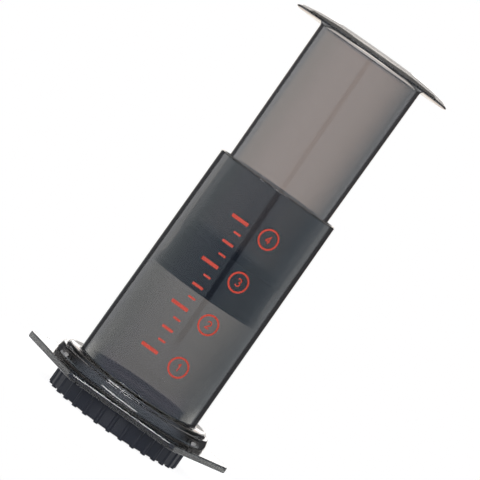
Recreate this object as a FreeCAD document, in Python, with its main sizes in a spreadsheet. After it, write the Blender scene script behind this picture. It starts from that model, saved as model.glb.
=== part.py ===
import FreeCAD, Part

# Manual coffee press: a piston that slides in a brewing chamber over a screw-less filter cap.
# Millimetres, +Z up along the press, origin at the centre of the cap's underside.
# The hexagonal flange has its corners on +X and -X, and the printed side faces -Y.

import math
import os

import Sketcher

V = FreeCAD.Vector
doc = FreeCAD.newDocument("coffee_press")

# ---------------------------------------------------------------- driving dimensions
sheet = doc.addObject("Spreadsheet::Sheet", "dims")
VALUES = [
    # chamber
    ("bore_radius", 29.8, "bore of the brewing chamber"),
    ("rim_height", 133.4, "top of the chamber"),
    ("wall_radius_top", 31.65, "outer radius at the rim"),
    ("wall_radius_low", 32.25, "outer radius just above the shoulder"),
    ("wall_low_height", 21.7, "where the straight wall starts"),
    ("rim_round", 0.5, "outer edge of the rim"),
    ("lead_in", 0.6, "chamfer in the mouth of the bore"),
    ("neck_radius", 31.4, "outside of the lower neck"),
    ("neck_bottom", 3.3, "lower edge of the neck, on the paper"),
    ("ceiling_height", 19.0, "top of the recess under the collar"),
    ("recess_radius", 39.2, "inside of the collar near its top"),
    ("recess_mouth", 39.7, "inside of the collar at the flange"),
    ("shoulder_height", 21.2, "top of the rounded shoulder"),
    ("shoulder_radius", 38.8, "outside of the shoulder"),
    ("shoulder_round", 1.6, "rounding of the shoulder"),
    ("shoulder_valley", 20.9, "where the shoulder's top runs into the tube"),
    ("collar_top", 19.4, "flat on top of the collar"),
    ("collar_radius_top", 40.63, "collar just under its top edge"),
    ("collar_edge", 0.4, "rounding of the collar's top edge"),
    ("collar_radius_low", 41.5, "collar at its widest"),
    ("collar_ridge_low", 15.7, "lower end of the collar's soft ridge"),
    ("collar_ridge_high", 16.5, "upper end of the ridge"),
    ("collar_foot", 40.6, "collar where it meets the flange"),
    ("flange_bottom", 11.1, "underside of the hexagonal flange"),
    ("flange_thick", 3.0, "thickness of the hexagonal flange"),
    ("flange_corner", 55.97, "radius to the sharp corner of the hexagon"),
    ("flange_corner_round", 5.0, "rounding of the hexagon's corners"),
    ("flange_edge_round", 0.5, "rounding of the flange's edges"),
    ("lug_radius", 32.7, "reach of the neck's lugs"),
    ("lug_bottom", 6.4, "underside of the neck's lugs"),
    ("lug_top", 8.6, "top of the neck's lugs"),
    ("lug_span", 24.0, "width of a lug in degrees"),
    ("lug_count", 4, "lugs round the neck"),
    ("stop_top", 10.7, "top of the end stop on a lug"),
    ("stop_span", 3.0, "width of an end stop in degrees"),
    ("stop_turn", 14.0, "middle of an end stop from its lug's middle, degrees"),
    # plunger, drawn half withdrawn
    ("tube_foot", 95.5, "lower end of the plunger's tube"),
    ("tube_radius_low", 27.05, "outside of the tube at its foot"),
    ("tube_radius_top", 27.84, "outside of the tube under the hand flange"),
    ("tube_wall", 2.0, "wall of the tube"),
    ("tube_floor", 3.2, "floor closing the tube"),
    ("tube_top", 205.9, "where the tube's straight side ends"),
    ("hand_fillet", 1.8, "fillet under the hand flange"),
    ("hand_under", 207.7, "underside of the hand flange at the tube"),
    ("hand_rim_low", 207.0, "underside of the hand flange at its rim"),
    ("hand_rim_high", 207.95, "upper edge of the rim"),
    ("hand_radius", 41.97, "radius of the hand flange"),
    ("hand_shoulder", 209.05, "top face near the rim"),
    ("hand_shoulder_radius", 39.5, "where the rim's bevel ends"),
    ("hand_crown", 211.3, "top face at the mouth"),
    ("hand_dome", 130.0, "curvature of the top face"),
    ("mouth_round", 1.3, "rounding of the tube's mouth"),
    ("boss_radius", 21.0, "head of the seal's boss"),
    ("boss_bottom", 83.5, "underside of the boss"),
    ("boss_head_top", 88.0, "top of the boss's head"),
    ("stem_radius", 17.0, "stem between boss and tube"),
    ("boss_bore", 14.0, "hollow inside the boss"),
    ("boss_skin", 3.0, "thickness under the hollow"),
    # seal
    ("seal_bottom", 73.2, "middle of the seal's underside"),
    ("seal_edge", 74.4, "outer edge of the underside"),
    ("seal_radius", 29.72, "wiping lip"),
    ("seal_lip_low", 75.2, "lower end of the lip's land"),
    ("seal_lip_high", 77.4, "upper end of the lip's land"),
    ("seal_waist", 26.4, "body above the lip"),
    ("seal_waist_low", 81.6, "where the lip's flare ends"),
    ("seal_waist_high", 92.6, "where the top bead starts"),
    ("seal_bead_low", 94.0, "top bead"),
    ("seal_play", 0.1, "gap between seal and boss"),
    # filter cap
    ("cap_radius", 34.9, "skirt between the ribs"),
    ("cap_inner", 33.0, "inside of the skirt"),
    ("cap_height", 18.2, "height of the cap"),
    ("cap_floor_low", 0.8, "underside of the perforated floor"),
    ("cap_floor_high", 3.0, "top of the perforated floor"),
    ("cap_base_inner", 28.6, "inside of the foot ring"),
    ("cap_base_outer", 30.6, "outside of the foot ring"),
    ("cap_step", 0.6, "height of the skirt's lower edge above the foot ring"),
    ("cap_bevel", 0.5, "bevel at the skirt's lower edge"),
    ("cap_edge", 0.5, "rounding at the top of the skirt"),
    ("rib_root", 33.3, "root of a rib inside the skirt"),
    ("rib_flank", 34.75, "where a rib's straight sides end"),
    ("rib_half", 1.05, "half width of a rib"),
    ("rib_curve", 1.08, "curvature of a rib's crown, which reaches 35.58"),
    ("rib_top", 16.7, "upper end of the ribs"),
    ("rib_count", 32, "ribs round the skirt"),
    ("cap_lug_radius", 31.7, "reach of the cap's lugs"),
    ("cap_lug_low", 8.9, "underside of the cap's lugs"),
    ("cap_lug_high", 10.7, "top of the cap's lugs"),
    ("hole_radius", 1.0, "drain hole"),
    ("hole_pitch", 5.0, "spacing of the rings of holes"),
    # paper
    ("paper_radius", 32.4, "paper disc"),
    ("paper_thick", 0.2, "thickness of the paper"),
]


class Dim:
    """A number together with the sheet expression that gives it."""

    def __init__(self, value, text):
        self.value, self.text = float(value), text

    def _join(self, other, sign, value):
        return Dim(value, "(%s %s %s)" % (self.text, sign, other.text))

    def __add__(self, other):
        other = dim(other)
        return self._join(other, "+", self.value + other.value)

    def __sub__(self, other):
        other = dim(other)
        return self._join(other, "-", self.value - other.value)

    def __mul__(self, other):
        other = dim(other)
        return self._join(other, "*", self.value * other.value)


def dim(x):
    return x if isinstance(x, Dim) else Dim(x, "%.6f" % x)


D = {}
for row, (alias, value, note) in enumerate(VALUES, start=1):
    sheet.set("A%d" % row, alias)
    sheet.set("B%d" % row, str(value))
    sheet.set("C%d" % row, note)
    sheet.setAlias("B%d" % row, alias)
    D[alias] = Dim(value, "dims." + alias)
doc.recompute()


# ---------------------------------------------------------------- helpers
def new_body(name):
    body = doc.addObject("PartDesign::Body", name)
    body.Label = name
    body.Placement = FreeCAD.Placement(V(0, 0, 0), FreeCAD.Rotation())
    return body


def origin(body, role):
    return [o for o in body.Origin.OriginFeatures if o.Role == role][0]


def new_sketch(body, name, role, lift=None, turn=None):
    """A sketch on one of the body's own origin planes, lifted along its normal or turned about Z."""
    sk = body.newObject("Sketcher::SketchObject", name)
    sk.AttachmentSupport = (origin(body, role), [""])
    sk.MapMode = "FlatFace"
    if lift is not None:
        sk.AttachmentOffset = FreeCAD.Placement(V(0, 0, lift.value), FreeCAD.Rotation())
        sk.setExpression("AttachmentOffset.Base.z", lift.text)
    if turn is not None:
        sk.AttachmentOffset = FreeCAD.Placement(
            V(0, 0, 0), FreeCAD.Rotation(V(0, 1, 0), turn.value)
        )
        sk.setExpression("AttachmentOffset.Rotation.Angle", turn.text)
    return sk


def outline(sk, corners):
    """Closes a loop through corners. Each is (x, y) or (x, y, radius, (mx, my)), where the radius and a point
    near the middle give the arc that leads to the next corner. Every corner and radius is bound to the sheet."""
    count = len(corners)
    pts = [V(dim(c[0]).value, dim(c[1]).value, 0) for c in corners]
    edges = []
    for i, c in enumerate(corners):
        a, b = pts[i], pts[(i + 1) % count]
        if len(c) == 2:
            k = sk.addGeometry(Part.LineSegment(a, b), False)
            edges.append((k, 1, 2))
        else:
            radius, mid = dim(c[2]), V(c[3][0], c[3][1], 0)
            # centre of the arc through a and b with this radius, on the far side of mid
            half = (b - a) * 0.5
            across = V(-half.y, half.x, 0).normalize()
            centre_of_chord = a + half
            side = 1.0 if (mid - centre_of_chord).dot(across) > 0 else -1.0
            rise = math.sqrt(max(radius.value**2 - half.Length**2, 0.0))
            centre = centre_of_chord - across * (side * rise)
            crown = centre + across * (side * radius.value)
            k = sk.addGeometry(Part.Arc(a, crown, b), False)
            first = sk.getPoint(k, 1)
            starts = 1 if (first - a).Length < (first - b).Length else 2
            edges.append((k, starts, 3 - starts))
            n = sk.addConstraint(Sketcher.Constraint("Radius", k, radius.value))
            sk.renameConstraint(n, "round_%d" % i)
            sk.setExpression("Constraints.round_%d" % i, radius.text)
    for i in range(count):
        k, _, end = edges[i]
        nxt, start, _ = edges[(i + 1) % count]
        sk.addConstraint(Sketcher.Constraint("Coincident", k, end, nxt, start))
    for i, c in enumerate(corners):
        k, start, _ = edges[i]
        for kind, what, axis in (("DistanceX", c[0], -2), ("DistanceY", c[1], -1)):
            what = dim(what)
            if abs(what.value) < 1e-9:
                sk.addConstraint(Sketcher.Constraint("PointOnObject", k, start, axis))
                continue
            n = sk.addConstraint(
                Sketcher.Constraint(kind, -1, 1, k, start, what.value)
            )
            label = "%s_%d" % ("across" if kind == "DistanceX" else "up", i)
            sk.renameConstraint(n, label)
            sk.setExpression("Constraints." + label, what.text)
    return sk


def circle(sk, x, y, radius):
    k = sk.addGeometry(Part.Circle(V(dim(x).value, dim(y).value, 0), V(0, 0, 1), dim(radius).value), False)
    n = sk.addConstraint(Sketcher.Constraint("Radius", k, dim(radius).value))
    sk.renameConstraint(n, "radius_%d" % k)
    sk.setExpression("Constraints.radius_%d" % k, dim(radius).text)
    if abs(dim(x).value) < 1e-9 and abs(dim(y).value) < 1e-9:
        sk.addConstraint(Sketcher.Constraint("Coincident", k, 3, -1, 1))
        return k
    n = sk.addConstraint(Sketcher.Constraint("DistanceX", -1, 1, k, 3, dim(x).value))
    sk.renameConstraint(n, "centre_%d" % k)
    sk.setExpression("Constraints.centre_%d" % k, dim(x).text)
    sk.addConstraint(Sketcher.Constraint("PointOnObject", k, 3, -1))
    return k


def revolve(body, sk, name, angle=None):
    rev = body.newObject("PartDesign::Revolution", name)
    rev.Profile = (sk, [""])
    rev.ReferenceAxis = (sk, ["V_Axis"])
    rev.Angle = 360 if angle is None else angle.value
    if angle is not None:
        rev.Midplane = True
        rev.setExpression("Angle", angle.text)
    doc.recompute()
    return rev


def pad(body, sk, name, length):
    p = body.newObject("PartDesign::Pad", name)
    p.Profile = (sk, [""])
    p.Length = length.value
    p.setExpression("Length", length.text)
    doc.recompute()
    return p


def polar(body, feature, name, count):
    pat = body.newObject("PartDesign::PolarPattern", name)
    pat.Originals = [feature]
    pat.Axis = (origin(body, "Z_Axis"), [""])
    pat.Angle = 360
    pat.Occurrences = int(count.value)
    if count.text.startswith("dims."):
        pat.setExpression("Occurrences", count.text)
    body.Tip = pat
    doc.recompute()
    return pat


def grows(body, before, name):
    """The body's volume, after making sure that the last feature added to it."""
    now = body.Shape.Volume
    if now <= before:
        raise RuntimeError("%s added nothing: %.3f to %.3f" % (name, before, now))
    return now


def shrinks(body, before, name):
    now = body.Shape.Volume
    if now >= before:
        raise RuntimeError("%s cut nothing: %.3f to %.3f" % (name, before, now))
    return now


def edge_names(shape, wanted):
    return ["Edge%d" % (i + 1) for i, e in enumerate(shape.Edges) if wanted(e)]


# ---------------------------------------------------------------- chamber
# One moulding: tube, rounded shoulder, collar with a recess under it, hexagonal flange, and the lower
# neck whose lugs hold the cap.
chamber = new_body("chamber")
sk = outline(
    new_sketch(chamber, "chamber_section", "XZ_Plane"),
    [
        (D["bore_radius"], D["neck_bottom"]),
        (D["neck_radius"], D["neck_bottom"]),
        (D["neck_radius"], D["ceiling_height"] - 2.2, 2.2, (32.0, 18.4)),
        (D["neck_radius"] + 2.2, D["ceiling_height"]),
        (D["recess_radius"] - 2.6, D["ceiling_height"], 2.6, (38.4, 18.2)),
        (D["recess_radius"], D["ceiling_height"] - 2.6),
        (D["recess_mouth"], D["flange_bottom"]),
        (D["collar_foot"], D["flange_bottom"]),
        (D["collar_foot"], D["flange_bottom"] + D["flange_thick"], 0.95, (41.3, 14.3)),
        (D["collar_radius_low"], D["flange_bottom"] + D["flange_thick"] + 0.9),
        (D["collar_radius_low"] - 0.07, D["collar_ridge_low"], 5.2, (41.5, 16.1)),
        (D["collar_radius_low"] - 0.21, D["collar_ridge_high"]),
        (D["collar_radius_top"], D["collar_top"] - D["collar_edge"], 0.41, (40.5, 19.3)),
        (D["collar_radius_top"] - D["collar_edge"], D["collar_top"]),
        (D["shoulder_radius"], D["collar_top"]),
        (D["shoulder_radius"], D["shoulder_height"] - D["shoulder_round"], D["shoulder_round"] * 1.01, (38.4, 20.8)),
        (D["shoulder_radius"] - D["shoulder_round"], D["shoulder_height"]),
        (D["wall_radius_low"] + 0.8, D["shoulder_valley"], 0.83, (32.45, 21.1)),
        (D["wall_radius_low"], D["wall_low_height"]),
        (D["wall_radius_top"], D["rim_height"] - D["rim_round"], 0.52, (31.5, 133.25)),
        (D["wall_radius_top"] - D["rim_round"], D["rim_height"]),
        (D["bore_radius"] + D["lead_in"], D["rim_height"]),
        (D["bore_radius"], D["rim_height"] - D["lead_in"] * 1.4),
    ],
)
revolve(chamber, sk, "chamber_wall")
volume = grows(chamber, 0, "chamber_wall")

sk = new_sketch(chamber, "hexagon", "XY_Plane", lift=D["flange_bottom"])
corner = D["flange_corner"]
outline(
    sk,
    [
        (corner * math.cos(math.radians(60 * i)), corner * math.sin(math.radians(60 * i)))
        for i in range(6)
    ],
)
circle(sk, 0, 0, D["collar_foot"] - 0.5)
hexagon = pad(chamber, sk, "flange", D["flange_thick"])
volume = grows(chamber, volume, "flange")


def hexagon_corner(e):
    v = e.Vertexes
    return (
        len(v) == 2
        and abs(v[0].X - v[1].X) < 1e-4
        and abs(v[0].Y - v[1].Y) < 1e-4
        and abs(math.hypot(v[0].X, v[0].Y) - corner.value) < 0.01
    )


fil = chamber.newObject("PartDesign::Fillet", "flange_corners")
names = edge_names(chamber.Shape, hexagon_corner)
fil.Base = (hexagon, names)
fil.Radius = D["flange_corner_round"].value
fil.setExpression("Radius", "dims.flange_corner_round")
doc.recompute()
volume = shrinks(chamber, volume, "flange_corners")


def flange_rim(e):
    box = e.BoundBox
    flat = box.ZLength < 1e-4
    level = min(
        abs(box.ZMin - D["flange_bottom"].value),
        abs(box.ZMin - D["flange_bottom"].value - D["flange_thick"].value),
    )
    far = min(math.hypot(p.X, p.Y) for p in e.Vertexes) if e.Vertexes else 0
    return flat and level < 1e-4 and far > 47


fil2 = chamber.newObject("PartDesign::Fillet", "flange_edges")
names = edge_names(chamber.Shape, flange_rim)
fil2.Base = (fil, names)
fil2.Radius = D["flange_edge_round"].value
fil2.setExpression("Radius", "dims.flange_edge_round")
doc.recompute()
volume = shrinks(chamber, volume, "flange_edges")

lug_root = D["neck_radius"] - 0.5
sk = outline(
    new_sketch(chamber, "neck_lug_section", "XZ_Plane"),
    [
        (lug_root, D["lug_bottom"] - 0.4),
        (D["lug_radius"], D["lug_bottom"] + 0.4),
        (D["lug_radius"], D["lug_top"]),
        (lug_root, D["lug_top"]),
    ],
)
lug = revolve(chamber, sk, "neck_lug", D["lug_span"])
polar(chamber, lug, "neck_lugs", D["lug_count"])
volume = grows(chamber, volume, "neck_lugs")
sk = outline(
    new_sketch(chamber, "end_stop_section", "XZ_Plane", turn=D["stop_turn"]),
    [
        (lug_root, D["lug_bottom"] - 0.4),
        (D["lug_radius"], D["lug_bottom"] + 0.4),
        (D["lug_radius"], D["stop_top"]),
        (lug_root, D["stop_top"]),
    ],
)
stop = revolve(chamber, sk, "end_stop", D["stop_span"])
polar(chamber, stop, "end_stops", D["lug_count"])
volume = grows(chamber, volume, "end_stops")

# ---------------------------------------------------------------- plunger
# One moulding: open tube that widens a little upwards, domed hand flange, closed foot and the hollow
# mushroom-shaped boss that holds the seal.
plunger = new_body("plunger")
sk = outline(
    new_sketch(plunger, "plunger_section", "XZ_Plane"),
    [
        (0, D["boss_bottom"]),
        (D["boss_radius"] - 1.0, D["boss_bottom"], 1.02, (20.7, 83.8)),
        (D["boss_radius"], D["boss_bottom"] + 1.0),
        (D["boss_radius"], D["boss_head_top"]),
        (D["stem_radius"], D["boss_head_top"]),
        (D["stem_radius"], D["tube_foot"]),
        (D["tube_radius_low"], D["tube_foot"]),
        (D["tube_radius_top"], D["tube_top"], D["hand_fillet"] * 1.05, (28.4, 207.2)),
        (D["tube_radius_top"] + D["hand_fillet"], D["hand_under"]),
        (D["hand_radius"] - 0.67, D["hand_rim_low"], 0.58, (41.97, 207.35)),
        (D["hand_radius"] - 0.37, D["hand_rim_high"]),
        (D["hand_shoulder_radius"], D["hand_shoulder"], D["hand_dome"], (33.4, 210.5)),
        (
            D["tube_radius_top"] - D["tube_wall"] + D["mouth_round"],
            D["hand_crown"],
            D["mouth_round"] * 1.02,
            (26.1, 211.0),
        ),
        (D["tube_radius_top"] - D["tube_wall"], D["hand_crown"] - D["mouth_round"]),
        (D["tube_radius_low"] - D["tube_wall"], D["tube_foot"] + D["tube_floor"] + 2.0, 2.02, (24.5, 99.3)),
        (D["tube_radius_low"] - D["tube_wall"] - 2.0, D["tube_foot"] + D["tube_floor"]),
        (D["boss_bore"] + 0.4, D["tube_foot"] + D["tube_floor"]),
        (D["boss_bore"], D["boss_bottom"] + D["boss_skin"]),
        (0, D["boss_bottom"] + D["boss_skin"]),
    ],
)
revolve(plunger, sk, "plunger_body")

# ---------------------------------------------------------------- seal
seal = new_body("plunger_seal")
sk = outline(
    new_sketch(seal, "seal_section", "XZ_Plane"),
    [
        (0, D["seal_bottom"]),
        (D["seal_radius"] - 0.75, D["seal_edge"], 0.85, (29.5, 74.7)),
        (D["seal_radius"], D["seal_lip_low"]),
        (D["seal_radius"], D["seal_lip_high"], 6.5, (27.4, 79.0)),
        (D["seal_waist"], D["seal_waist_low"]),
        (D["seal_waist"], D["seal_waist_high"]),
        (D["tube_radius_low"], D["seal_bead_low"]),
        (D["tube_radius_low"], D["tube_foot"]),
        (D["stem_radius"] + D["seal_play"], D["tube_foot"]),
        (D["stem_radius"] + D["seal_play"], D["boss_head_top"] + D["seal_play"]),
        (D["boss_radius"] + D["seal_play"], D["boss_head_top"] + D["seal_play"]),
        (D["boss_radius"] + D["seal_play"], D["boss_bottom"]),
        (0, D["boss_bottom"]),
    ],
)
revolve(seal, sk, "seal_body")

# ---------------------------------------------------------------- filter cap
cap = new_body("filter_cap")
sk = outline(
    new_sketch(cap, "cap_section", "XZ_Plane"),
    [
        (0, D["cap_floor_low"]),
        (D["cap_base_inner"] - 0.8, D["cap_floor_low"]),
        (D["cap_base_inner"], 0),
        (D["cap_base_outer"], 0),
        (D["cap_base_outer"] + 0.3, D["cap_step"]),
        (D["cap_radius"] - D["cap_bevel"], D["cap_step"]),
        (D["cap_radius"], D["cap_step"] + D["cap_bevel"]),
        (D["cap_radius"], D["cap_height"] - D["cap_edge"], 0.52, (34.8, 18.1)),
        (D["cap_radius"] - D["cap_edge"], D["cap_height"]),
        (D["cap_inner"] + 0.5, D["cap_height"]),
        (D["cap_inner"], D["cap_height"] - 0.6),
        (D["cap_inner"], D["cap_floor_high"]),
        (0, D["cap_floor_high"]),
    ],
)
revolve(cap, sk, "cap_shell")
volume = grows(cap, 0, "cap_shell")
sk = new_sketch(cap, "rib_section", "XY_Plane")
half = D["rib_half"]
outline(
    sk,
    [
        (D["rib_root"], half),
        (D["rib_flank"], half, D["rib_curve"], (35.58, 0.0)),
        (D["rib_flank"], half * -1.0),
        (D["rib_root"], half * -1.0),
    ],
)
rib = pad(cap, sk, "rib", D["rib_top"])
polar(cap, rib, "ribs", D["rib_count"])
volume = grows(cap, volume, "ribs")
sk = outline(
    new_sketch(cap, "cap_lug_section", "XZ_Plane"),
    [
        (D["cap_lug_radius"], D["cap_lug_low"]),
        (D["cap_inner"] + 0.5, D["cap_lug_low"]),
        (D["cap_inner"] + 0.5, D["cap_lug_high"] + 0.6),
        (D["cap_lug_radius"], D["cap_lug_high"]),
    ],
)
cap_lug = revolve(cap, sk, "cap_lug", D["lug_span"])
polar(cap, cap_lug, "cap_lugs", D["lug_count"])
volume = grows(cap, volume, "cap_lugs")
for ring in range(6):
    sk = new_sketch(cap, "hole_circle_%d" % ring, "XY_Plane")
    circle(sk, D["hole_pitch"] * ring if ring else 0, 0, D["hole_radius"])
    hole = cap.newObject("PartDesign::Pocket", "drain_%d" % ring)
    hole.Profile = (sk, [""])
    hole.Type = "Length"
    hole.Length = D["cap_floor_high"].value + 1
    hole.setExpression("Length", "dims.cap_floor_high + 1")
    hole.Reversed = True
    doc.recompute()
    if ring:
        polar(cap, hole, "drains_%d" % ring, dim(6 * ring))
    volume = shrinks(cap, volume, "drain_%d" % ring)

# ---------------------------------------------------------------- paper filter
paper = new_body("paper_filter")
sk = new_sketch(paper, "paper_outline", "XY_Plane", lift=D["cap_floor_high"])
circle(sk, 0, 0, D["paper_radius"])
pad(paper, sk, "paper_disc", D["paper_thick"])

# ---------------------------------------------------------------- checks and files
doc.recompute()
BODIES = [chamber, plunger, seal, cap, paper]
for obj in doc.Objects:
    if "Invalid" in obj.State or "Error" in obj.State:
        raise RuntimeError("%s is %s" % (obj.Name, obj.State))
for body in BODIES:
    shape = body.Shape
    if shape.isNull() or not shape.isValid() or len(shape.Solids) != 1:
        raise RuntimeError("%s has a bad shape" % body.Label)
os.makedirs("parts", exist_ok=True)
for body in BODIES:
    body.Shape.exportStep("parts/%s.step" % body.Label)
    box = body.Shape.BoundBox
    print(
        "%-13s %9.1f mm3  x %.2f..%.2f  y %.2f..%.2f  z %.2f..%.2f"
        % (body.Label, body.Shape.Volume, box.XMin, box.XMax, box.YMin, box.YMax, box.ZMin, box.ZMax)
    )
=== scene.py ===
import math

import bmesh
import bpy
from mathutils import Matrix, Vector


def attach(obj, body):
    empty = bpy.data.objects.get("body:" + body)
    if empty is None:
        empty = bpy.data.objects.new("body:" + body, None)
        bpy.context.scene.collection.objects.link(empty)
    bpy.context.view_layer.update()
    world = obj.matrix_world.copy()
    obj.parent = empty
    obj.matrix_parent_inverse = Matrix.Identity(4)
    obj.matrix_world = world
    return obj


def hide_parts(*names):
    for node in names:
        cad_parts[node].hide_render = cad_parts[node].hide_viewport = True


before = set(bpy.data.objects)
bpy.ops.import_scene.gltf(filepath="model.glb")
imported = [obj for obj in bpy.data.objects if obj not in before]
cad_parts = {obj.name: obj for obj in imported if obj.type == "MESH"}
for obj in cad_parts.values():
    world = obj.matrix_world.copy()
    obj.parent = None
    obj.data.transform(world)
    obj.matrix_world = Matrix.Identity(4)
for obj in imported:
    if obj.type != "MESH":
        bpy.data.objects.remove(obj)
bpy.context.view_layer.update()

MM = 0.001

# ---------------------------------------------------------------- geometry helpers (millimetres until the mesh is made)


def arc_points(a, b, radius, near, step=8.0):
    """Points after a and before b on the circle of that radius through both, on the side where near lies."""
    ax, ay = a
    bx, by = b
    hx, hy = (bx - ax) / 2, (by - ay) / 2
    half = math.hypot(hx, hy)
    px, py = -hy / half, hx / half
    mx, my = ax + hx, ay + hy
    side = 1.0 if (near[0] - mx) * px + (near[1] - my) * py > 0 else -1.0
    rise = math.sqrt(max(radius * radius - half * half, 0.0))
    cx, cy = mx - px * side * rise, my - py * side * rise
    t0 = math.atan2(ay - cy, ax - cx)
    t1 = math.atan2(by - cy, bx - cx)
    # the short way round, unless near says otherwise
    turn = (t1 - t0 + math.pi) % (2 * math.pi) - math.pi
    n = max(2, int(math.ceil(abs(math.degrees(turn)) / step)))
    return [
        (cx + radius * math.cos(t0 + turn * i / n), cy + radius * math.sin(t0 + turn * i / n))
        for i in range(1, n)
    ]


def line_points(a, b, support=0.25, longest=9.0):
    """Points between a and b: one close to each end, so that rounded neighbours don't bend the shading, and more
    where the line is long."""
    length = math.hypot(b[0] - a[0], b[1] - a[1])
    if length < support * 3:
        return []
    cuts = [support, length - support]
    inner = length - 2 * support
    n = int(inner // longest)
    cuts[1:1] = [support + inner * (i + 1) / (n + 1) for i in range(n)]
    return [(a[0] + (b[0] - a[0]) * c / length, a[1] + (b[1] - a[1]) * c / length) for c in cuts]


def trace(corners, closed=True, step=8.0):
    """A profile through corners, each (r, z) or (r, z, radius, near) for an arc to the next one."""
    out = []
    count = len(corners)
    for i in range(count if closed else count - 1):
        c, d = corners[i], corners[(i + 1) % count]
        out.append((c[0], c[1]))
        if len(c) == 2:
            out += line_points(c[:2], d[:2])
        else:
            out += arc_points(c[:2], d[:2], c[2], c[3], step)
    if not closed:
        out.append((corners[-1][0], corners[-1][1]))
    return out


def finish_mesh(name, verts, faces, sharp=32.0):
    me = bpy.data.meshes.new(name)
    me.from_pydata([(x * MM, y * MM, z * MM) for x, y, z in verts], [], faces)
    bm = bmesh.new()
    bm.from_mesh(me)
    bmesh.ops.remove_doubles(bm, verts=bm.verts, dist=1e-8)
    bmesh.ops.recalc_face_normals(bm, faces=bm.faces)
    if bm.calc_volume(signed=True) < 0:
        bmesh.ops.reverse_faces(bm, faces=bm.faces)
    bm.to_mesh(me)
    bm.free()
    me.shade_smooth()
    me.set_sharp_from_angle(angle=math.radians(sharp))
    me.update()
    ob = bpy.data.objects.new(name, me)
    bpy.context.scene.collection.objects.link(ob)
    return ob


def swept(name, rows, thetas, closed=True, sharp=32.0):
    """A surface round the Z axis. Each row is (radius, z), each a number or a function of the angle in degrees. A row
    of radius 0 becomes one vertex on the axis."""
    verts, rings = [], []
    for radius, z in rows:
        if not callable(radius) and radius < 1e-6:
            rings.append([len(verts)])
            verts.append((0.0, 0.0, z))
            continue
        ring = []
        for t in thetas:
            r = radius(t) if callable(radius) else radius
            h = z(t) if callable(z) else z
            ring.append(len(verts))
            verts.append((r * math.cos(math.radians(t)), r * math.sin(math.radians(t)), h))
        rings.append(ring)
    faces = []
    n = len(thetas)
    for k in range(len(rings) if closed else len(rings) - 1):
        a, b = rings[k], rings[(k + 1) % len(rings)]
        if len(a) == 1 and len(b) == 1:
            continue
        for i in range(n):
            j = (i + 1) % n
            if len(a) == 1:
                faces.append((a[0], b[j], b[i]))
            elif len(b) == 1:
                faces.append((a[i], a[j], b[0]))
            else:
                faces.append((a[i], a[j], b[j], b[i]))
    return finish_mesh(name, verts, faces, sharp)


def even(n):
    return [360.0 * i / n for i in range(n)]


# ---------------------------------------------------------------- node helpers


class Nodes:
    """A material's node tree with short calls for making nodes and links."""

    def __init__(self, name):
        self.mat = bpy.data.materials.new(name)
        self.mat.use_nodes = True
        self.tree = self.mat.node_tree
        self.tree.nodes.clear()
        self.out = self.tree.nodes.new("ShaderNodeOutputMaterial")
        self.shader = self.tree.nodes.new("ShaderNodeBsdfPrincipled")
        self.link(self.shader.outputs["BSDF"], self.out.inputs["Surface"])
        self.place = self.tree.nodes.new("ShaderNodeTexCoord").outputs["Object"]

    def link(self, a, b):
        self.tree.links.new(a, b)

    def new(self, kind, **settings):
        n = self.tree.nodes.new(kind)
        for k, v in settings.items():
            setattr(n, k, v)
        return n

    def mapped(self, scale=(1, 1, 1), turn=(0, 0, 0)):
        m = self.new("ShaderNodeMapping")
        m.inputs["Scale"].default_value = scale
        m.inputs["Rotation"].default_value = turn
        self.link(self.place, m.inputs["Vector"])
        return m.outputs["Vector"]

    def noise(self, scale, detail=2.0, rough=0.5, vector=None):
        n = self.new("ShaderNodeTexNoise")
        n.inputs["Scale"].default_value = scale
        n.inputs["Detail"].default_value = detail
        n.inputs["Roughness"].default_value = rough
        self.link(vector or self.place, n.inputs["Vector"])
        return n.outputs["Fac"]

    def spread(self, value, lo, hi, out_lo, out_hi):
        m = self.new("ShaderNodeMapRange")
        self.link(value, m.inputs["Value"])
        for key, v in (("From Min", lo), ("From Max", hi), ("To Min", out_lo), ("To Max", out_hi)):
            m.inputs[key].default_value = v
        return m.outputs["Result"]

    def maths(self, op, a, b):
        n = self.new("ShaderNodeMath", operation=op)
        for s, v in zip(n.inputs, (a, b)):
            if isinstance(v, (int, float)):
                s.default_value = v
            else:
                self.link(v, s)
        return n.outputs[0]

    def mix(self, factor, a, b):
        n = self.new("ShaderNodeMix", data_type="RGBA")
        if isinstance(factor, (int, float)):
            n.inputs[0].default_value = factor
        else:
            self.link(factor, n.inputs[0])
        for s, v in ((n.inputs[6], a), (n.inputs[7], b)):
            if isinstance(v, tuple):
                s.default_value = (*v, 1.0)
            else:
                self.link(v, s)
        return n.outputs[2]

    def bump(self, height, strength, distance):
        n = self.new("ShaderNodeBump")
        n.inputs["Strength"].default_value = strength
        n.inputs["Distance"].default_value = distance
        self.link(height, n.inputs["Height"])
        self.link(n.outputs["Normal"], self.shader.inputs["Normal"])

    def set(self, **values):
        for k, v in values.items():
            s = self.shader.inputs[k.replace("_", " ")]
            if isinstance(v, (int, float)):
                s.default_value = v
            elif isinstance(v, tuple):
                s.default_value = (*v, 1.0)
            else:
                self.link(v, s)


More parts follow.
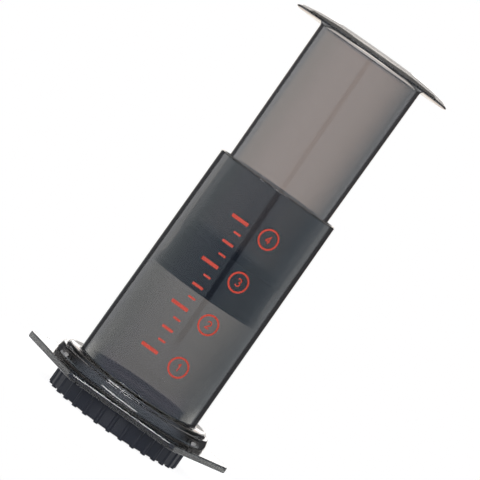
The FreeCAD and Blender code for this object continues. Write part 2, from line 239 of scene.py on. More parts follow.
def smoke_plastic(name, taken, rim=False, ior=1.49):
    """Clear moulded plastic that takes away that much light per metre of red, green and blue."""
    m = Nodes(name)
    # faint flow lines down the moulding and a little wiping haze, in the gloss only
    flow = m.noise(42.0, 2.0, 0.5, m.mapped((1, 1, 0.10)))
    haze = m.noise(17.0, 2.0, 0.5)
    scuff = m.noise(310.0, 1.0, 0.5, m.mapped((0.3, 0.3, 1.0)))
    rough = m.maths(
        "ADD",
        m.spread(flow, 0.40, 0.72, 0.010, 0.018),
        m.maths("MULTIPLY", m.spread(haze, 0.45, 0.70, 0.2, 1.0), m.spread(scuff, 0.60, 0.78, 0.0, 0.008)),
    )
    if rim:
        # the cut edge of the six-sided flange is left matt from the mould's parting line
        sep = m.new("ShaderNodeSeparateXYZ")
        m.link(m.place, sep.inputs[0])
        px, py, pz = sep.outputs
        ax = m.maths("MULTIPLY", px, math.cos(math.radians(30)))
        by = m.maths("MULTIPLY", py, 0.5)
        far = m.maths("ABSOLUTE", py, 0.0)
        far = m.maths("MAXIMUM", far, m.maths("ABSOLUTE", m.maths("ADD", ax, by), 0.0))
        far = m.maths("MAXIMUM", far, m.maths("ABSOLUTE", m.maths("SUBTRACT", ax, by), 0.0))
        matt = m.maths("MULTIPLY", m.spread(far, 0.04835, 0.04845, 0.0, 0.22), m.spread(pz, 0.0133, 0.0134, 1.0, 0.0))
        rough = m.maths("ADD", rough, matt)
    m.set(
        Base_Color=m.mix(m.spread(flow, 0.3, 0.75, 0.0, 1.0), (1.0, 1.0, 1.0), (0.982, 0.984, 0.988)),
        Roughness=rough,
        IOR=ior,
        Transmission_Weight=1.0,
    )
    m.bump(m.noise(22.0, 1.0, 0.5, m.mapped((1, 1, 0.3))), 0.007, 0.0004)
    v = m.new("ShaderNodeVolumeAbsorption")
    density = max(taken) * 1.25
    v.inputs["Density"].default_value = density
    v.inputs["Color"].default_value = (*[1 - t / density for t in taken], 1.0)
    m.link(v.outputs["Volume"], m.out.inputs["Volume"])
    return m.mat


def seal_rubber():
    m = Nodes("seal_rubber")
    dust = m.noise(420.0, 4.0, 0.6)
    tone = m.noise(38.0, 3.0, 0.5)
    colour = m.mix(m.spread(tone, 0.3, 0.7, 0, 1), (0.014, 0.0155, 0.020), (0.021, 0.023, 0.029))
    m.set(
        Base_Color=m.mix(m.spread(dust, 0.58, 0.8, 0.0, 0.3), colour, (0.034, 0.036, 0.041)),
        Roughness=m.spread(dust, 0.3, 0.75, 0.5, 0.68),
        IOR=1.3,
    )
    m.bump(m.noise(1600.0, 3.0, 0.6), 0.12, 0.00006)
    return m.mat


def cap_plastic():
    m = Nodes("cap_plastic")
    grain = m.noise(2600.0, 3.0, 0.6)
    wear = m.noise(75.0, 4.0, 0.6)
    m.set(
        Base_Color=m.mix(m.spread(wear, 0.35, 0.75, 0, 1), (0.0038, 0.0050, 0.0100), (0.0060, 0.0075, 0.0130)),
        Roughness=m.maths("ADD", m.spread(grain, 0.3, 0.7, 0.36, 0.46), m.spread(wear, 0.4, 0.8, 0.0, 0.08)),
        IOR=1.30,
    )
    m.bump(grain, 0.18, 0.00004)
    return m.mat


def ink():
    m = Nodes("print_ink")
    speck = m.noise(1900.0, 3.0, 0.55)
    patch = m.noise(240.0, 2.0, 0.5)
    colour = m.mix(m.spread(patch, 0.3, 0.7, 0, 1), (0.32, 0.028, 0.013), (0.29, 0.025, 0.012))
    m.set(
        Base_Color=m.mix(m.spread(speck, 0.62, 0.85, 0, 0.6), colour, (0.25, 0.022, 0.012)),
        Roughness=m.spread(speck, 0.3, 0.7, 0.38, 0.52),
        IOR=1.32,
    )
    m.bump(speck, 0.12, 0.00002)
    return m.mat


def filter_paper():
    m = Nodes("filter_paper")
    fibre = m.noise(1500.0, 5.0, 0.65, m.mapped((1, 0.35, 1), (0, 0, 0.4)))
    cloud = m.noise(300.0, 3.0, 0.5)
    m.set(
        Base_Color=m.mix(
            m.spread(fibre, 0.3, 0.7, 0, 1),
            (0.80, 0.785, 0.74),
            (0.88, 0.87, 0.84),
        ),
        Roughness=m.spread(cloud, 0.3, 0.7, 0.85, 0.97),
        IOR=1.45,
    )
    m.bump(m.maths("ADD", fibre, cloud), 0.5, 0.00008)
    return m.mat


CHAMBER = smoke_plastic("chamber_plastic", (478.0, 487.0, 492.0), rim=True)
PLUNGER = smoke_plastic("plunger_plastic", (304.0, 318.0, 322.0))
SEAL = seal_rubber()
CAP = cap_plastic()
INK = ink()
PAPER = filter_paper()


def wear(ob, material, body, slot=None):
    ob.data.materials.clear()
    ob.data.materials.append(material)
    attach(ob, body)
    return ob


# ---------------------------------------------------------------- chamber
HEX_ACROSS, HEX_ROUND = 55.97 * math.cos(math.radians(30)), 5.0
HEX_CENTRE = (HEX_ACROSS - HEX_ROUND) / math.cos(math.radians(30))


def hexagon(inset):
    """The radius of the rounded hexagon, moved in by inset, at each angle. Its corners are at 0, 60, ... degrees."""
    a, rho = HEX_ACROSS - inset, HEX_ROUND - inset

    def radius(t):
        phi = abs((t + 30.0) % 60.0 - 30.0)
        p = math.radians(phi)
        meet = math.atan2(rho * 0.5, HEX_CENTRE + rho * math.cos(math.radians(30)))
        if p < meet:
            tip = HEX_CENTRE * math.cos(p) + math.sqrt(max(rho * rho - (HEX_CENTRE * math.sin(p)) ** 2, 0.0))
            return min(tip, 55.18)
        return a / math.cos(math.radians(30) - p)

    return radius


def near(t, middle, span):
    return abs((t - middle + 180.0) % 360.0 - 180.0) < span / 2 + 1e-6


def lugs(low, high, with_lug):
    """Neck radius with the lugs, or only their end stops, standing out to high."""

    def radius(t):
        for k in range(4):
            if with_lug and near(t, 90.0 * k, 24.0) or near(t, 90.0 * k + 14.0, 3.0):
                return high
        return low

    return radius


thetas = set(round(i * 1.5, 4) for i in range(240))
for k in range(6):
    for i in range(-14, 15):
        thetas.add(round((60.0 * k + i * 0.4) % 360.0, 4))
for k in range(4):
    for edge in (-12.0, 12.0, 12.5, 15.5):
        for d in (-0.08, 0.08):
            thetas.add(round((90.0 * k + edge + d) % 360.0, 4))
thetas = sorted(thetas)

under = trace(
    [
        (29.8, 3.3),
        (31.4, 3.3),
        (31.4, 6.1),
    ],
    closed=False,
)
rows = [(r, z) for r, z in under]
rows += [
    (lugs(31.4, 31.9, True), 6.28),
    (lugs(31.4, 32.7, True), 6.8),
    (lugs(31.4, 32.7, True), 8.5),
    (lugs(31.4, 32.6, True), 8.58),
    (lugs(31.4, 32.6, False), 8.62),
    (lugs(31.4, 32.7, False), 8.8),
    (lugs(31.4, 32.7, False), 10.6),
    (lugs(31.4, 32.6, False), 10.68),
    (31.4, 10.75),
]
rows += trace(
    [
        (31.4, 11.2),
        (31.4, 16.8, 2.2, (32.0, 18.4)),
        (33.6, 19.0),
        (36.6, 19.0, 2.6, (38.4, 18.2)),
        (39.2, 16.4),
        (39.66, 11.35, 0.3, (39.72, 11.18)),
        (39.9, 11.1),
    ],
    closed=False,
)
EDGE = 0.5
rows += [(hexagon(8.2), 11.1), (hexagon(4.0), 11.1), (hexagon(EDGE + 0.2), 11.1)]
for i in range(0, 9):
    t = math.radians(90.0 * i / 8)
    rows.append((hexagon(EDGE * (1 - math.sin(t))), 11.1 + EDGE * (1 - math.cos(t))))
for inset, h in (
    (0.0, 13.35),
    (0.0, 13.43),
    (0.006, 13.47),
    (0.0595, 13.85),
    (0.075, 13.92),
    (0.13, 14.0),
    (0.22, 14.06),
    (0.34, 14.095),
    (0.5, 14.1),
):
    rows.append((hexagon(inset), h))
rows += [(hexagon(EDGE + 0.2), 14.1), (hexagon(3.0), 14.1), (hexagon(5.6), 14.1)]
rows += trace(
    [
        (41.2, 14.1),
        (40.75, 14.1, 0.2, (40.55, 14.15)),
        (40.62, 14.13, 0.95, (41.3, 14.3)),
        (41.5, 15.0),
        (41.43, 15.7, 5.2, (41.5, 16.1)),
        (41.29, 16.5),
        (40.63, 19.0, 0.41, (40.5, 19.3)),
        (40.23, 19.4),
        (39.0, 19.4, 0.25, (38.84, 19.44)),
        (38.8, 19.52),
        (38.79, 19.57),
        (38.72, 20.05, 1.5, (38.4, 20.7)),
        (37.2, 21.2),
        (33.05, 20.9, 0.83, (32.45, 21.1)),
        (32.25, 21.7),
        (31.65, 132.9, 0.52, (31.5, 133.25)),
        (31.15, 133.4),
        (30.5, 133.4, 0.2, (30.35, 133.33)),
        (30.33, 133.3),
        (29.8, 132.56),
        (29.8, 3.55),
    ],
    closed=False,
)
chamber = wear(swept("chamber_moulding", rows, thetas), CHAMBER, "chamber", "chamber")
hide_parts("chamber")

# ---------------------------------------------------------------- plunger
rows = trace(
    [
        (0, 83.5),
        (20.0, 83.5, 1.02, (20.7, 83.8)),
        (21.0, 84.5),
        (21.0, 87.7, 0.3, (20.95, 87.9)),
        (20.7, 88.0),
        (17.3, 88.0, 0.3, (17.05, 88.05)),
        (17.0, 88.3),
        (17.0, 95.2, 0.3, (17.05, 95.45)),
        (17.3, 95.5),
        (26.75, 95.5, 0.3, (27.0, 95.55)),
        (27.05, 95.8),
        (27.84, 205.9, 1.89, (28.4, 207.2)),
        (29.64, 207.7),
        (41.3, 207.0, 0.58, (41.97, 207.35)),
        (41.6, 207.95),
        (39.5, 209.05, 130.0, (33.4, 210.5)),
        (27.14, 211.3, 1.326, (26.1, 211.0)),
        (25.84, 210.0),
        (25.05, 100.7, 2.02, (24.5, 99.3)),
        (23.05, 98.7),
        (14.7, 98.7, 0.4, (14.4, 98.6)),
        (14.4, 98.3),
        (14.0, 87.0, 0.5, (13.9, 86.6)),
        (13.5, 86.5),
        (0, 86.5),
    ],
    closed=False,
    step=6.0,
)
plunger = wear(swept("plunger_moulding", rows, even(256), closed=False), PLUNGER, "plunger", "plunger")
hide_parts("plunger")

# ---------------------------------------------------------------- seal
rows = trace(
    [
        (0, 73.2),
        (28.97, 74.4, 0.85, (29.5, 74.7)),
        (29.72, 75.2),
        (29.72, 77.4, 6.5, (27.4, 79.0)),
        (26.4, 81.6),
        (26.4, 92.6),
        (27.05, 94.0),
        (27.05, 95.2, 0.3, (27.0, 95.4)),
        (26.75, 95.48),
        (17.1, 95.48),
        (17.1, 88.1),
        (21.1, 88.1),
        (21.1, 83.48),
        (0, 83.48),
    ],
    closed=False,
)
seal = wear(swept("seal_moulding", rows, even(192), closed=False), SEAL, "plunger", "seal")
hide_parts("plunger_seal")

# ---------------------------------------------------------------- filter cap
SKIRT, RIB_CENTRE, RIB_ROUND, RIB_HALF = 34.9, 34.497, 1.08, 1.745


def crown(t):
    """The radius of a rib's crown, or None beside the rib."""
    phi = (t + 5.625) % 11.25 - 5.625
    if abs(phi) > RIB_HALF + 0.01:
        return None
    p = math.radians(phi)
    return RIB_CENTRE * math.cos(p) + math.sqrt(max(RIB_ROUND**2 - (RIB_CENTRE * math.sin(p)) ** 2, 0.0))


def ribbed(share):
    """The skirt with its ribs, which stand out by share of their height."""

    def radius(t):
        c = crown(t)
        return SKIRT if c is None else SKIRT + max(c - SKIRT, 0.0) * share

    return radius


def foot(rib_in, rib_z, shell, shell_z):
    """Radius and height round the skirt's lower edge: the ribs end a little lower than the skirt between them."""

    def radius(t):
        c = crown(t)
        if c is None:
            return shell
        return c - rib_in if rib_in < 1.0 else rib_in

    def height(t):
        return shell_z if crown(t) is None else rib_z

    return radius, height


cap_thetas = []
for k in range(32):
    for d in (5.2, 4.2, 3.2, 2.4, 1.8, 1.745, 1.62, 1.45, 1.2, 0.85, 0.45):
        cap_thetas += [(11.25 * k + d) % 360.0, (11.25 * k - d) % 360.0]
    cap_thetas.append((11.25 * k) % 360.0)
cap_thetas = sorted(cap_thetas)

rows = [(0, 0.8), (6.0, 0.8), (12.0, 0.8), (20.0, 0.8), (27.2, 0.8), (27.8, 0.78)]
rows += [(28.55, 0.05), (28.7, 0.0), (30.5, 0.0), (30.62, 0.05), (30.88, 0.55), (31.0, 0.6), (33.0, 0.6), (33.3, 0.6)]
rows += [
    foot(33.33, 0.1, 33.4, 0.6),
    foot(33.45, 0.0, 33.6, 0.6),
    foot(0.22, 0.0, 34.3, 0.6),
    foot(0.07, 0.05, 34.42, 0.63),
    foot(0.0, 0.2, 34.75, 0.93),
    foot(0.0, 0.7, 34.9, 1.12),
    (ribbed(1.0), 1.4),
    (ribbed(1.0), 4.0),
    (ribbed(1.0), 8.0),
    (ribbed(1.0), 12.2),
    (ribbed(1.0), 15.9),
    (ribbed(0.93), 16.2),
    (ribbed(0.75), 16.45),
    (ribbed(0.4), 16.63),
    (ribbed(0.0), 16.7),
]
rows += trace(
    [
        (34.9, 16.9),
        (34.9, 17.7, 0.52, (34.8, 18.1)),
        (34.4, 18.2),
        (33.5, 18.2),
        (33.0, 17.6),
        (33.0, 3.3, 0.3, (33.0, 3.1)),
        (32.7, 3.0),
    ],
    closed=False,
)
rows += [(30.0, 3.0), (20.0, 3.0), (12.0, 3.0), (6.0, 3.0), (0, 3.0)]
cap = swept("cap_moulding", rows, cap_thetas, closed=False, sharp=40.0)


def lug_block(name, r0, r1, z0, z1, middle, span, lean=0.0):
    """A curved block, part of a ring."""
    verts, faces = [], []
    n = 10
    for i in range(n + 1):
        t = math.radians(middle + span * (i / n - 0.5))
        for r, z in ((r0, z0), (r1, z0), (r1, z1 + lean), (r0, z1)):
            verts.append((r * math.cos(t), r * math.sin(t), z))
    for i in range(n):
        a, b = 4 * i, 4 * (i + 1)
        for k in range(4):
            faces.append((a + k, a + (k + 1) % 4, b + (k + 1) % 4, b + k))
    faces += [(0, 1, 2, 3), (4 * n + 3, 4 * n + 2, 4 * n + 1, 4 * n)]
    return finish_mesh(name, verts, faces)


def drill(ob, tool):
    mod = ob.modifiers.new("drill", "BOOLEAN")
    mod.operation = "DIFFERENCE"
    mod.solver = "EXACT"
    mod.object = tool
    made = bpy.data.meshes.new_from_object(ob.evaluated_get(bpy.context.evaluated_depsgraph_get()))
    ob.modifiers.clear()
    ob.data = made
    bpy.data.objects.remove(tool, do_unlink=True)
    made.shade_smooth()
    made.set_sharp_from_angle(angle=math.radians(40))


verts, faces = [], []
for ring in range(6):
    for k in range(max(1, 6 * ring)):
        t = math.radians(60.0 * k / max(1, ring)) if ring else 0.0
        x, y = 5.0 * ring * math.cos(t), 5.0 * ring * math.sin(t)
        base = len(verts)
        n = 20
        for z in (-1.0, 4.0):
            for i in range(n):
                a = 2 * math.pi * i / n
                verts.append((x + 1.0 * math.cos(a), y + 1.0 * math.sin(a), z))
        for i in range(n):
            j = (i + 1) % n
            faces.append((base + i, base + j, base + n + j, base + n + i))
        faces.append(tuple(base + n - 1 - i for i in range(n)))
        faces.append(tuple(base + n + i for i in range(n)))
drill(cap, finish_mesh("drills", verts, faces))
wear(cap, CAP, "filter_cap", "cap")
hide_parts("filter_cap")
for k in range(4):
    lug = lug_block("cap_lug_%d" % (k + 1), 31.7, 33.02, 8.9, 10.7, 90.0 * k, 24.0, 0.6)
    wear(lug, CAP, "filter_cap", "cap")

# ---------------------------------------------------------------- paper
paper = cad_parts["paper_filter"]
paper.data.materials.clear()
paper.data.materials.append(PAPER)

# ---------------------------------------------------------------- print on the chamber


def wall_radius(z):
    return 32.25 + (31.65 - 32.25) * (z - 21.7) / (132.9 - 21.7)


LIFT, SKIN = 0.02, 0.045


def printed(name, verts, faces):
    """Flat artwork laid on the chamber's wall, each vertex (across, up) in mm, with a thin even film of ink."""
    bm = bmesh.new()
    vs = [bm.verts.new((x, y, 0.0)) for x, y in verts]
    for f in faces:
        bm.faces.new([vs[i] for i in f])
    bmesh.ops.recalc_face_normals(bm, faces=bm.faces)
    got = bmesh.ops.extrude_face_region(bm, geom=bm.faces[:])
    top = [v for v in got["geom"] if isinstance(v, bmesh.types.BMVert)]
    for v in top:
        v.co.z = 1.0
    for v in bm.verts:
        r = wall_radius(v.co.y) + LIFT + (SKIN if v.co.z > 0.5 else 0.0)
        a = v.co.x / 31.95
        z = v.co.y
        v.co = Vector((r * math.sin(a), -r * math.cos(a), z))
    for v in bm.verts:
        v.co *= MM
    bmesh.ops.recalc_face_normals(bm, faces=bm.faces)
    me = bpy.data.meshes.new(name)
    bm.to_mesh(me)
    bm.free()
    ob = bpy.data.objects.new(name, me)
    bpy.context.scene.collection.objects.link(ob)
    return wear(ob, INK, "chamber", "chamber")


def ring_art(cx, cy, outer, inner, n=72):
    verts = []
    for i in range(n):
        a = 2 * math.pi * i / n
        verts.append((cx + outer * math.cos(a), cy + outer * math.sin(a)))
        verts.append((cx + inner * math.cos(a), cy + inner * math.sin(a)))
    faces = [(2 * i, 2 * ((i + 1) % n), 2 * ((i + 1) % n) + 1, 2 * i + 1) for i in range(n)]
    return verts, faces


def bar_art(x0, x1, y0, y1):
    """A bar with softly rounded ends, cut into strips so that it follows the wall."""
    n = max(2, int((x1 - x0) / 0.8))
    rnd = min(0.3, (y1 - y0) * 0.45)
    xs = [x0, x0 + rnd * 0.35] + [x0 + rnd + (x1 - x0 - 2 * rnd) * i / n for i in range(n + 1)] + [x1 - rnd * 0.35, x1]
    verts, faces = [], []
    for x in xs:
        e = min(x - x0, x1 - x)
        cut = rnd - math.sqrt(max(rnd * rnd - max(rnd - e, 0.0) ** 2, 0.0)) if e < rnd else 0.0
        verts += [(x, y0 + cut), (x, y1 - cut)]
    for i in range(len(xs) - 1):
        faces.append((2 * i, 2 * i + 2, 2 * i + 3, 2 * i + 1))
    return verts, faces


def stroke_art(points, width, closed=False):
    """A ribbon of that width along points, with mitred joins."""
    n = len(points)
    verts, faces = [], []
    for i, (x, y) in enumerate(points):
        a = points[(i - 1) % n] if closed or i > 0 else None
        b = points[(i + 1) % n] if closed or i < n - 1 else None
        dirs = []
        if a is not None:
            dirs.append(Vector((x - a[0], y - a[1])).normalized())
        if b is not None:
            dirs.append(Vector((b[0] - x, b[1] - y)).normalized())
        d = sum(dirs, Vector((0, 0))).normalized()
        nrm = Vector((-d.y, d.x))
        stretch = 1.0 / max(0.45, nrm.dot(Vector((-dirs[0].y, dirs[0].x))))
        off = nrm * (width / 2 * stretch)
        verts += [(x + off.x, y + off.y), (x - off.x, y - off.y)]
    for i in range(n if closed else n - 1):
        a, b = 2 * i, 2 * ((i + 1) % n)
        faces.append((a, b, b + 1, a + 1))
    return verts, faces


def curve_through(cx, cy, rx, ry, t0, t1, n=14):
    return [
        (cx + rx * math.cos(math.radians(t0 + (t1 - t0) * i / n)), cy + ry * math.sin(math.radians(t0 + (t1 - t0) * i / n)))
        for i in range(n + 1)
    ]


# numerals on a box 2.5 wide and 3.7 high about the origin, as strokes
NUMERALS = {
    "1": [[(-0.75, 1.05), (0.12, 1.75), (0.12, -1.8)]],
    "2": [curve_through(0.0, 0.82, 1.02, 0.98, 165, -35, 16) + [(-1.05, -1.62)], [(-1.2, -1.6), (1.15, -1.6)]],
    "3": [
        curve_through(-0.08, 0.9, 0.98, 0.9, 150, -90, 16),
        curve_through(-0.08, -0.82, 1.1, 0.98, 90, -150, 18),
    ],
    "4": [[(0.45, -1.85), (0.45, 1.6), (-1.15, -0.75)], [(-1.3, -0.75), (1.2, -0.75)]],
}
AT_X, STROKE = 9.9, 0.62
for word, height in (("4", 112.7), ("3", 89.1), ("2", 65.5), ("1", 41.9)):
    verts, faces = ring_art(AT_X, height, 5.1, 4.2)
    printed("level_ring_" + word, verts, faces)
    for part, line in enumerate(NUMERALS[word]):
        verts, faces = stroke_art([(AT_X + x, height + y) for x, y in line], STROKE)
        printed("level_%s_%d" % (word, part + 1), verts, faces)

# a plain scale beside the ringed numerals: long ticks level with them and short ones between
FIRST, PITCH = 41.9, 23.6
for i in range(0, 13):
    height = FIRST + PITCH * i / 4.0
    if i % 4 == 0:
        x0, thick = -10.6, 1.7
    elif i % 2 == 0:
        x0, thick = -7.4, 1.3
    else:
        x0, thick = -5.4, 1.0
    verts, faces = bar_art(x0, -1.6, height - thick / 2, height + thick / 2)
    printed("scale_tick_%02d" % (i + 1), verts, faces)

# ---------------------------------------------------------------- floor, light and camera
me = bpy.data.meshes.new("floor")
n = 96
FLOOR = 0.12
me.from_pydata(
    [(FLOOR * math.cos(2 * math.pi * i / n), FLOOR * math.sin(2 * math.pi * i / n), -0.0002) for i in range(n)],
    [],
    [tuple(range(n))],
)
floor = bpy.data.objects.new("floor", me)
bpy.context.scene.collection.objects.link(floor)
fm = Nodes("floor_white")
fm.set(
    Base_Color=(0.25, 0.25, 0.25),
    Roughness=0.9,
    Emission_Color=(1.0, 1.0, 1.0),
    Emission_Strength=0.90,
)
fm.shader.inputs["Specular IOR Level"].default_value = 0.0
me.materials.append(fm.mat)

world = bpy.data.worlds.new("studio")
bpy.context.scene.world = world
world.use_nodes = True
wt = world.node_tree
wt.nodes.clear()


def wn(kind, **settings):
    n = wt.nodes.new(kind)
    for k, v in settings.items():
        setattr(n, k, v)
    return n


def wmath(op, a, b=None, clamp=False):
    n = wn("ShaderNodeMath", operation=op, use_clamp=clamp)
    for s, v in zip(n.inputs, (a, b)):
        if v is None:
            continue
        if isinstance(v, (int, float)):
            s.default_value = v
        else:
            wt.links.new(v, s)
    return n.outputs[0]


def wrange(value, lo, hi, a, b):
    n = wn("ShaderNodeMapRange", interpolation_type="SMOOTHSTEP")
    wt.links.new(value, n.inputs["Value"])
    for key, v in (("From Min", lo), ("From Max", hi), ("To Min", a), ("To Max", b)):
        n.inputs[key].default_value = v
    return n.outputs["Result"]


def wmix(factor, a, b):
    n = wn("ShaderNodeMix", data_type="RGBA")
    wt.links.new(factor, n.inputs[0])
    for s, v in ((n.inputs[6], a), (n.inputs[7], b)):
        if isinstance(v, tuple):
            s.default_value = (*v, 1.0)
        else:
            wt.links.new(v, s)
    return n.outputs[2]


coord = wn("ShaderNodeTexCoord").outputs["Generated"]
sep = wn("ShaderNodeSeparateXYZ")
wt.links.new(coord, sep.inputs[0])
x, y, z = sep.outputs
# azimuth 0 is the camera's side, positive towards +X; level is the height above the horizon, both in degrees
azimuth = wmath("MULTIPLY", wmath("ARCTAN2", x, wmath("MULTIPLY", y, -1.0)), 180.0 / math.pi)
level = wmath("MULTIPLY", wmath("ARCSINE", z), 180.0 / math.pi)

# round the room at the height of the press: a pale backdrop straight behind, dark flags beside it, and large soft
# boxes from there round to the front
STOPS = [
    (-180.0, (0.965, 0.840, 0.750)),
    (-176.0, (0.925, 0.820, 0.730)),
    (-170.0, (0.805, 0.720, 0.635)),
    (-165.0, (0.250, 0.250, 0.260)),
    (-157.0, (0.120, 0.120, 0.130)),
    (-140.0, (0.140, 0.140, 0.150)),
    (-136.0, (1.100, 1.120, 1.150)),
    (-120.0, (1.250, 1.300, 1.350)),
    (-90.0, (1.050, 1.200, 1.300)),
    (-60.0, (1.000, 1.150, 1.350)),
    (-36.0, (0.880, 1.040, 1.240)),
    (-20.0, (0.740, 0.900, 1.100)),
    (20.0, (0.740, 0.900, 1.100)),
    (36.0, (0.880, 1.040, 1.200)),
    (60.0, (0.850, 1.000, 1.150)),
    (90.0, (0.800, 0.950, 1.100)),
    (120.0, (0.900, 0.980, 1.050)),
    (132.0, (0.800, 0.850, 0.900)),
    (139.0, (0.160, 0.160, 0.170)),
    (160.0, (0.060, 0.060, 0.065)),
    (165.0, (0.150, 0.150, 0.150)),
    (170.0, (0.322, 0.290, 0.262)),
    (174.0, (0.645, 0.570, 0.505)),
    (177.0, (0.860, 0.750, 0.665)),
    (180.0, (0.965, 0.840, 0.750)),
]
ramp = wn("ShaderNodeValToRGB")
wt.links.new(wmath("ADD", wmath("DIVIDE", azimuth, 360.0), 0.5), ramp.inputs[0])
stops = ramp.color_ramp.elements
stops[0].position, stops[1].position = 0.0, 1.0
for at, colour in STOPS[1:-1]:
    stops.new(at / 360.0 + 0.5)
for element, (at, colour) in zip(stops, STOPS):
    element.position = at / 360.0 + 0.5
    element.color = (*[c / 2.0 for c in colour], 1.0)
doubled = wn("ShaderNodeVectorMath", operation="SCALE")
wt.links.new(ramp.outputs["Color"], doubled.inputs[0])
doubled.inputs["Scale"].default_value = 2.0
low_band = doubled.outputs["Vector"]

away = wmath("ABSOLUTE", azimuth)
# the backdrop is lit in two steps: less bright below the middle of the press, and bright again near the table
steps = wmix(wrange(level, -1.75, -1.45, 1.0, 0.0), (1.0, 1.0, 1.0), (0.76, 0.76, 0.76))
steps = wmix(wrange(level, -4.1, -3.5, 1.0, 0.0), steps, (1.16, 1.26, 1.30))
steps = wmix(wrange(away, 150.0, 165.0, 1.0, 0.0), steps, (1.0, 1.0, 1.0))
lit = wn("ShaderNodeVectorMath", operation="MULTIPLY")
wt.links.new(low_band, lit.inputs[0])
wt.links.new(steps, lit.inputs[1])
low_band = lit.outputs["Vector"]
# the front boxes dim towards the table
front = wrange(away, 60.0, 110.0, 1.0, 0.0)
near_table = wmath("MULTIPLY", front, wrange(level, -5.30, -5.05, 1.0, 0.0))
low_band = wmix(near_table, low_band, (1.25, 1.30, 1.60))
low_band = wmix(wmath("MULTIPLY", front, wrange(level, -6.65, -6.45, 1.0, 0.0)), low_band, (0.90, 0.95, 1.15))
# and the side boxes are brightest there
beside = wmath("MULTIPLY", wrange(away, 92.0, 104.0, 0.0, 1.0), wrange(away, 126.0, 134.0, 1.0, 0.0))
beside = wmath("MULTIPLY", beside, wrange(level, -5.8, -5.2, 1.0, 0.0))
low_band = wmix(beside, low_band, (2.60, 2.60, 2.50))
# a dark upright stands between the two front boxes and leans a little
gap_at = wmath("SUBTRACT", 2.5, wmath("MULTIPLY", level, 1.8))
gap = wrange(wmath("ABSOLUTE", wmath("SUBTRACT", azimuth, gap_at)), 3.6, 6.0, 1.0, 0.0)
gap = wmath("MULTIPLY", gap, wrange(level, -4.6, -4.0, 0.0, 1.0))
gap = wmath("MULTIPLY", gap, wrange(away, 60.0, 70.0, 1.0, 0.0))
low_band = wmix(gap, low_band, (0.22, 0.28, 0.40))

# higher up behind: a bright sweep, then a dark flag, then the ceiling; in front a softer room with a long lamp that
# hangs lower towards the right
behind = wmix(wrange(level, 6.75, 6.95, 0.0, 1.0), (1.95, 1.92, 1.88), (0.80, 0.77, 0.74))
behind = wmix(wrange(level, 13.0, 14.5, 0.0, 1.0), behind, (1.00, 0.95, 0.90))
behind = wmix(wrange(level, 18.5, 20.0, 0.0, 1.0), behind, (1.50, 1.43, 1.36))
behind = wmix(wrange(level, 23.5, 25.0, 0.0, 1.0), behind, (0.42, 0.40, 0.38))
behind = wmix(wrange(level, 58.0, 62.0, 0.0, 1.0), behind, (0.80, 0.82, 0.85))
behind = wmix(wmath("MULTIPLY", wrange(away, 158.0, 166.0, 1.0, 0.0), wrange(level, 27.0, 31.0, 1.0, 0.0)), behind, (0.14, 0.14, 0.15))
# a narrow window straight behind
window = wmath("MULTIPLY", wrange(away, 175.0, 178.0, 0.0, 1.0), wrange(level, 22.0, 24.0, 0.0, 1.0))
pane = wmix(wrange(level, 31.0, 33.0, 0.0, 1.0), (2.00, 1.90, 1.80), (0.70, 0.67, 0.64))
pane = wmix(wrange(level, 38.0, 40.0, 0.0, 1.0), pane, (2.50, 2.40, 2.30))
window = wmath("MULTIPLY", window, wrange(level, 51.0, 53.0, 1.0, 0.0))
behind = wmix(window, behind, pane)
high = wmix(front, behind, (1.35, 1.48, 1.72))
beside = wmath("MULTIPLY", wrange(away, 96.0, 108.0, 0.0, 1.0), wrange(away, 158.0, 166.0, 1.0, 0.0))
high = wmix(wmath("MULTIPLY", beside, wrange(level, 27.0, 31.0, 1.0, 0.0)), high, (0.14, 0.14, 0.15))
high = wmix(wrange(level, 28.0, 60.0, 0.0, 1.0), high, (0.95, 0.93, 0.92))
lamp_at = wmath("SUBTRACT", 10.6, wmath("MULTIPLY", azimuth, 0.12))
lamp = wrange(wmath("ABSOLUTE", wmath("SUBTRACT", level, lamp_at)), 4.4, 6.0, 1.0, 0.0)
lamp = wmath("MULTIPLY", lamp, wrange(wmath("ABSOLUTE", wmath("ADD", azimuth, 12.0)), 24.0, 31.0, 1.0, 0.0))
high = wmix(lamp, high, (12.0, 12.0, 12.0))
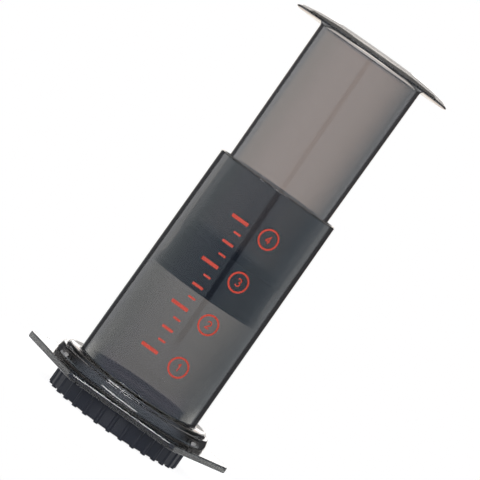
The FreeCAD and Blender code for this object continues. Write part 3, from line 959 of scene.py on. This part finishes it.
# a wide soft box overhead, a little in front of the press
overhead = wmath("MULTIPLY", wrange(level, 34.0, 40.0, 0.0, 1.0), wrange(level, 62.0, 70.0, 1.0, 0.0))
overhead = wmath("MULTIPLY", overhead, wrange(wmath("ABSOLUTE", azimuth), 24.0, 44.0, 1.0, 0.0))
high = wmix(overhead, high, (2.45, 2.60, 2.95))
room = wmix(wrange(level, 3.0, 5.0, 0.0, 1.0), low_band, high)
# below the backdrop's edge behind the press
under = wmath("MULTIPLY", wrange(level, -7.4, -6.6, 1.0, 0.0), wrange(away, 126.0, 134.0, 0.0, 1.0))
room = wmix(under, room, (0.16, 0.16, 0.17))
room = wmix(wrange(level, -15.0, -13.0, 1.0, 0.0), room, (0.70, 0.71, 0.72))
seen = wn("ShaderNodeLightPath").outputs["Is Camera Ray"]
room = wmix(seen, room, (1.0, 1.0, 1.0))
bg = wn("ShaderNodeBackground")
wt.links.new(room, bg.inputs["Color"])
bg.inputs["Strength"].default_value = 1.0
wt.links.new(bg.outputs[0], wn("ShaderNodeOutputWorld").inputs["Surface"])

LEAN = math.radians(35.25)
eye, aim = Vector((0.0, -1.450, 0.172)), Vector((-0.00085, 0.0, 0.1038))
ahead = (aim - eye).normalized()
up0 = (Vector((0, 0, 1)) - ahead * ahead.z).normalized()
right0 = ahead.cross(up0)
right = right0 * math.cos(LEAN) + up0 * math.sin(LEAN)
up = up0 * math.cos(LEAN) - right0 * math.sin(LEAN)
data = bpy.data.cameras.new("camera")
data.sensor_width = 36.0
data.lens = 236.2
data.clip_start, data.clip_end = 0.05, 20.0
camera = bpy.data.objects.new("camera", data)
bpy.context.scene.collection.objects.link(camera)
turn = Matrix((right, up, -ahead)).transposed().to_4x4()
turn.translation = eye
camera.matrix_world = turn
bpy.context.scene.camera = camera

scene = bpy.context.scene
scene.view_settings.view_transform = "Standard"
scene.view_settings.look = "None"
scene.cycles.use_denoising = True
scene.cycles.denoising_input_passes = "RGB_ALBEDO"
scene.cycles.transmission_bounces = 20
scene.cycles.max_bounces = 24
scene.cycles.glossy_bounces = 8
